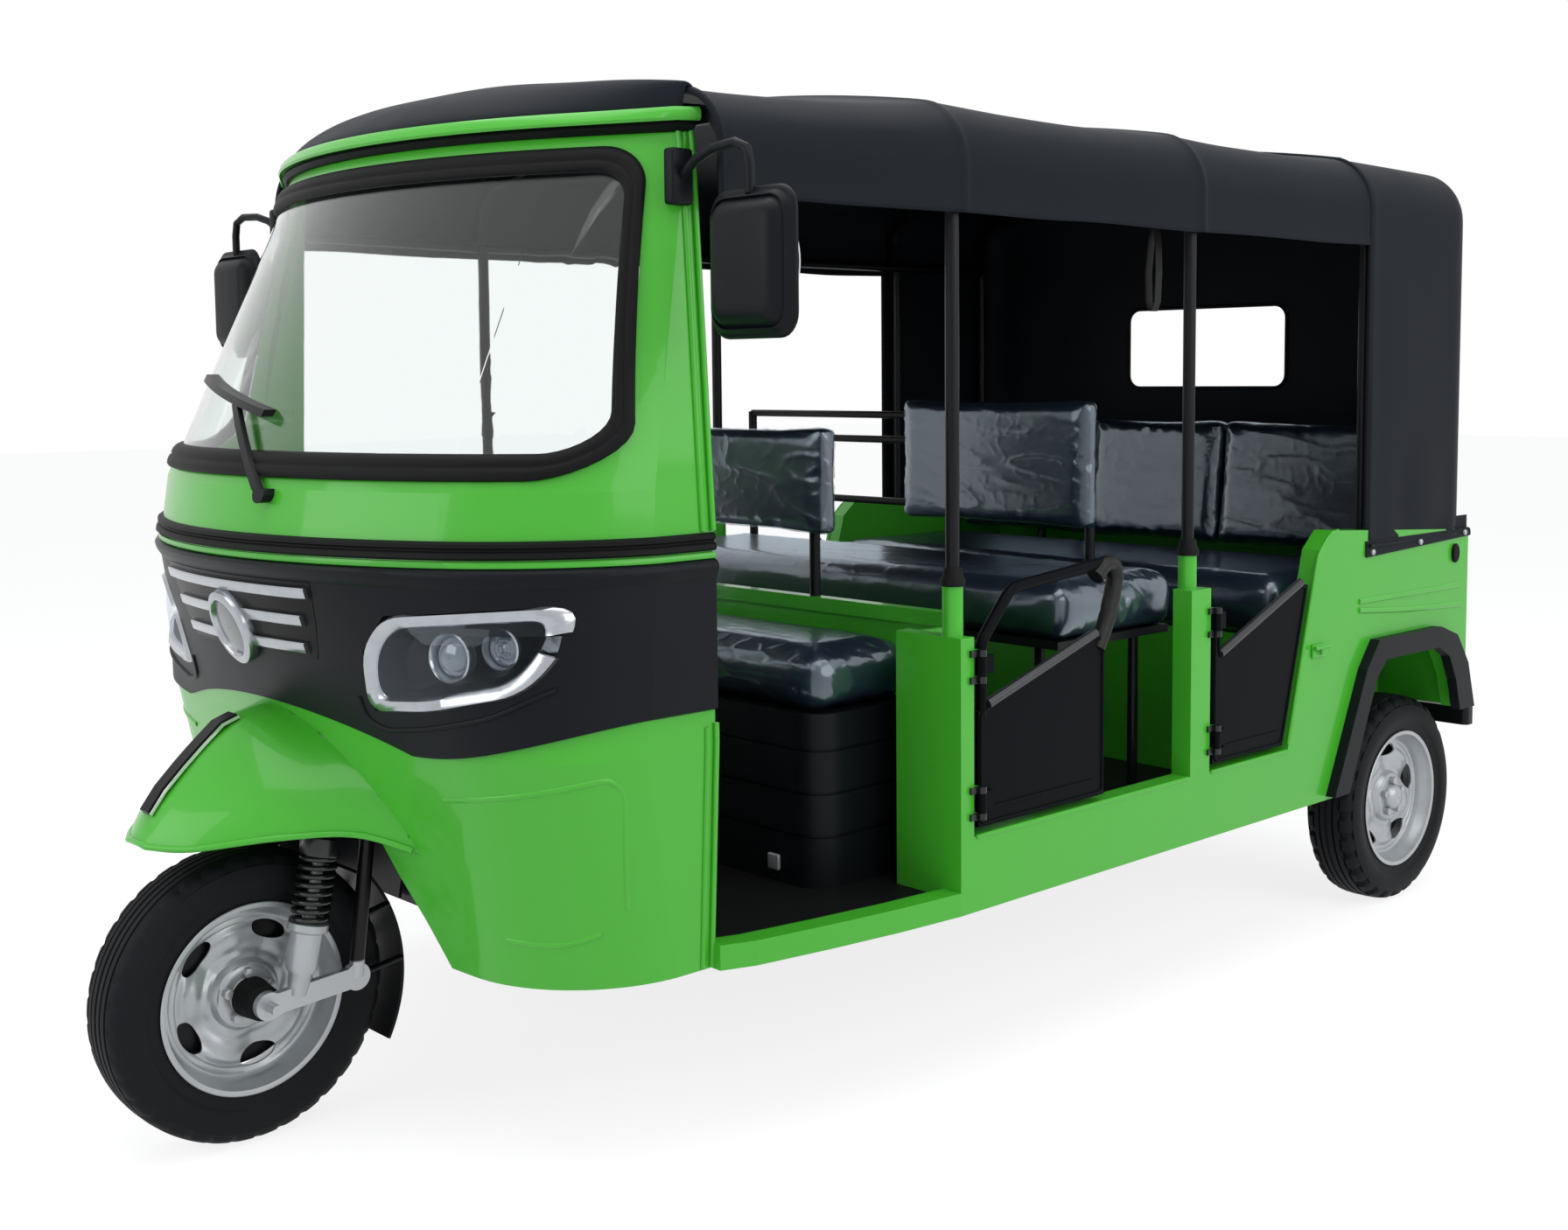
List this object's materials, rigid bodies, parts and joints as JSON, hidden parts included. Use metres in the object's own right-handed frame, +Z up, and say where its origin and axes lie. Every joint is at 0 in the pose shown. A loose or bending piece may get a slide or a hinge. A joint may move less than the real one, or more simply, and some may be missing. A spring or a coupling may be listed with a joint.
{
  "type": "auto rickshaw",
  "caption": "Long-bodied passenger auto rickshaw with a green cab and body, black fabric roof on a tube frame, low side doors, padded benches and pressed steel wheels.",
  "frame": {"origin": "centre of the bounding box at ground level", "axes": "-Y is the front, +X is the vehicle's left side, +Z is up"},
  "size_m": [1.86, 3.221, 1.8262],
  "materials": {
    "body_green": "gloss",
    "trim_black": "satin",
    "lamp_chrome": "polished",
    "lamp_glass": "clear",
    "rubber_black": "matte",
    "screen_glass": "clear",
    "wheel_alloy": "satin",
    "tyre_rubber": "matte",
    "fork_silver": "satin",
    "frame_black": "satin",
    "floor_black": "matte",
    "door_black": "satin",
    "lamp_red": "gloss",
    "seat_vinyl": "gloss",
    "battery_grey": "matte",
    "canopy_cloth": "matte"
  },
  "bodies": {
    "vehicle": {"leg_shield": "body_green", "front_fascia": "trim_black", "headlamp_bezels": "lamp_chrome", "headlamp_lenses": "lamp_glass", "grille_bars": "lamp_chrome", "upper_cowl": "body_green", "windscreen_seal": "rubber_black", "windscreen_glass": "screen_glass", "nose_mudguard": "body_green", "chassis_frame": "frame_black", "wheel_housing": "frame_black", "floor_pan": "floor_black", "side_bodies": "body_green", "wheel_arch_flares": "trim_black", "rear_panel": "body_green", "rear_lamps": "lamp_red", "rear_bumper": "frame_black", "rear_axle": "frame_black", "driver_seat_base": "trim_black", "driver_seat_cushion": "seat_vinyl", "partition_panel": "body_green", "seat_frames": "frame_black", "bench_cushions": "seat_vinyl", "backrests": "seat_vinyl", "rear_seat_base": "body_green", "battery_pack": "battery_grey", "dashboard": "trim_black", "canopy": "canopy_cloth", "roof_frame": "frame_black", "mirrors": "trim_black", "wiper": "frame_black"},
    "steering": {"steering_fork": "fork_silver", "front_struts": "fork_silver", "handlebar": "frame_black", "splash_guard": "trim_black"},
    "front_wheel": {"front_rim": "wheel_alloy", "front_tyre": "tyre_rubber"},
    "rear_wheel_left": {"rear_left_rim": "wheel_alloy", "rear_left_tyre": "tyre_rubber"},
    "rear_wheel_right": {"rear_right_rim": "wheel_alloy", "rear_right_tyre": "tyre_rubber"},
    "front_left_door": {"door_front_left": "door_black"},
    "front_right_door": {"door_front_right": "door_black"},
    "rear_left_door": {"door_rear_left": "door_black"},
    "rear_right_door": {"door_rear_right": "door_black"}
  },
  "joints": [
    {"name": "steering_turn", "type": "hinge", "parent": "vehicle", "child": "steering", "pos_m": [0, -1.1255, 0.64], "axis": [0, 0.4226, 0.9063], "range_deg": [-35, 35]},
    {"name": "front_wheel_spin", "type": "hinge", "parent": "steering", "child": "front_wheel", "pos_m": [0, -1.3605, 0.25], "axis": [1, 0, 0], "continuous": true},
    {"name": "rear_left_wheel_spin", "type": "hinge", "parent": "vehicle", "child": "rear_wheel_left", "pos_m": [0.65, 1.3125, 0.25], "axis": [1, 0, 0], "continuous": true},
    {"name": "rear_right_wheel_spin", "type": "hinge", "parent": "vehicle", "child": "rear_wheel_right", "pos_m": [-0.65, 1.3125, 0.25], "axis": [1, 0, 0], "continuous": true},
    {"name": "front_left_door_swing", "type": "hinge", "parent": "vehicle", "child": "front_left_door", "pos_m": [0.776, -0.3185, 0.65], "axis": [0, 0, -1], "range_deg": [0, 80]},
    {"name": "rear_left_door_swing", "type": "hinge", "parent": "vehicle", "child": "rear_left_door", "pos_m": [0.776, 0.4155, 0.65], "axis": [0, 0, -1], "range_deg": [0, 80]},
    {"name": "front_right_door_swing", "type": "hinge", "parent": "vehicle", "child": "front_right_door", "pos_m": [-0.776, -0.3185, 0.65], "axis": [0, 0, 1], "range_deg": [0, 80]},
    {"name": "rear_right_door_swing", "type": "hinge", "parent": "vehicle", "child": "rear_right_door", "pos_m": [-0.776, 0.4155, 0.65], "axis": [0, 0, 1], "range_deg": [0, 80]}
  ]
}
